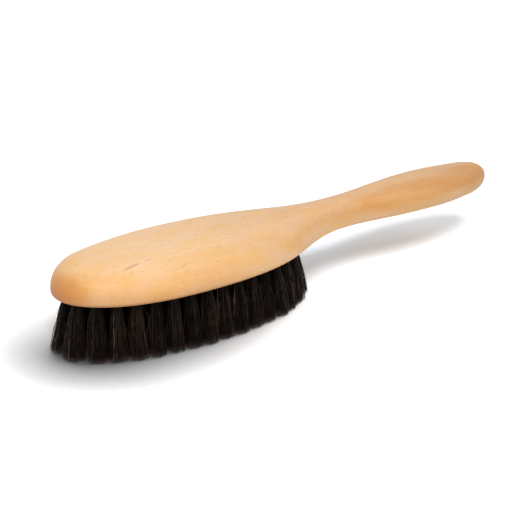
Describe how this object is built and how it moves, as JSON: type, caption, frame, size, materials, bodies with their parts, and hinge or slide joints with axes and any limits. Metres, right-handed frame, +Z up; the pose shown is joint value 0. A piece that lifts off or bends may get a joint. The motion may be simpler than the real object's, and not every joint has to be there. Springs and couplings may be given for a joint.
{
  "type": "clothes brush",
  "caption": "Handled clothes brush: one-piece beech stock with a long oval head and a rounded grip, and rings of black bristle tufts.",
  "frame": {"origin": "on the plane of the bristle tips, under the middle of the brush's length", "axes": "+X from the toe of the head to the end of the handle, +Z up from the bristle tips to the top of the head, +Y across"},
  "size_m": [0.25, 0.0586, 0.0415],
  "materials": {
    "beech": "fine-sanded and oiled, satin",
    "bristle": "natural black bristle, slightly glossy",
    "anchor_wire": "plain flat wire, cut to length"
  },
  "bodies": {
    "root": {"stock": "beech", "bristles_outer_ring": "bristle", "bristles_second_ring": "bristle", "bristles_third_ring": "bristle", "bristles_centre_row": "bristle", "anchor_01": "anchor_wire", "anchor_02": "anchor_wire", "anchor_03": "anchor_wire", "anchor_04": "anchor_wire", "anchor_05": "anchor_wire", "anchor_06": "anchor_wire", "anchor_07": "anchor_wire", "anchor_08": "anchor_wire", "anchor_09": "anchor_wire", "anchor_10": "anchor_wire", "anchor_11": "anchor_wire", "anchor_12": "anchor_wire", "anchor_13": "anchor_wire", "anchor_14": "anchor_wire", "anchor_15": "anchor_wire", "anchor_16": "anchor_wire", "anchor_17": "anchor_wire", "anchor_18": "anchor_wire", "anchor_19": "anchor_wire", "anchor_20": "anchor_wire", "anchor_21": "anchor_wire", "anchor_22": "anchor_wire", "anchor_23": "anchor_wire", "anchor_24": "anchor_wire", "anchor_25": "anchor_wire", "anchor_26": "anchor_wire", "anchor_27": "anchor_wire", "anchor_28": "anchor_wire", "anchor_29": "anchor_wire", "anchor_30": "anchor_wire", "anchor_31": "anchor_wire", "anchor_32": "anchor_wire", "anchor_33": "anchor_wire", "anchor_34": "anchor_wire", "anchor_35": "anchor_wire", "anchor_36": "anchor_wire", "anchor_37": "anchor_wire", "anchor_38": "anchor_wire", "anchor_39": "anchor_wire", "anchor_40": "anchor_wire", "anchor_41": "anchor_wire", "anchor_42": "anchor_wire", "anchor_43": "anchor_wire", "anchor_44": "anchor_wire", "anchor_45": "anchor_wire", "anchor_46": "anchor_wire", "anchor_47": "anchor_wire", "anchor_48": "anchor_wire", "anchor_49": "anchor_wire", "anchor_50": "anchor_wire", "anchor_51": "anchor_wire", "anchor_52": "anchor_wire"}
  },
  "joints": []
}
